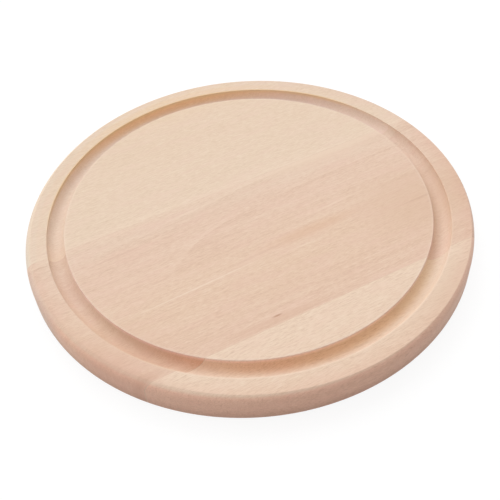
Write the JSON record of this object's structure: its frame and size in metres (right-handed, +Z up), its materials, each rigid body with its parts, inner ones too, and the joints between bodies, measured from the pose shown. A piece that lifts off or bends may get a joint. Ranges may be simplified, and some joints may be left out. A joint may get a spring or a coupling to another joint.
{
  "type": "round cutting board",
  "caption": "Round wooden cutting board of edge-glued staves, with a juice groove round its flat upper face and rounded edges; lies flat on a worktop.",
  "frame": {"origin": "centre of the flat underside, on the surface that the board lies on", "axes": "+Z up out of the cutting surface, X along the wood grain and the glue lines, -Y towards the narrow front stave"},
  "size_m": [0.25, 0.25, 0.018],
  "materials": {
    "front_wood": "pale beech, planed and sanded, lightly oiled",
    "middle_wood": "pinkish streaked beech, planed and sanded, lightly oiled",
    "back_wood": "cream beech, planed and sanded, lightly oiled",
    "glue": "cured wood glue, seen only as a hairline"
  },
  "bodies": {
    "root": {"front_stave": "front_wood", "middle_stave": "middle_wood", "back_stave": "back_wood", "front_glue_line": "glue", "back_glue_line": "glue"}
  },
  "joints": []
}
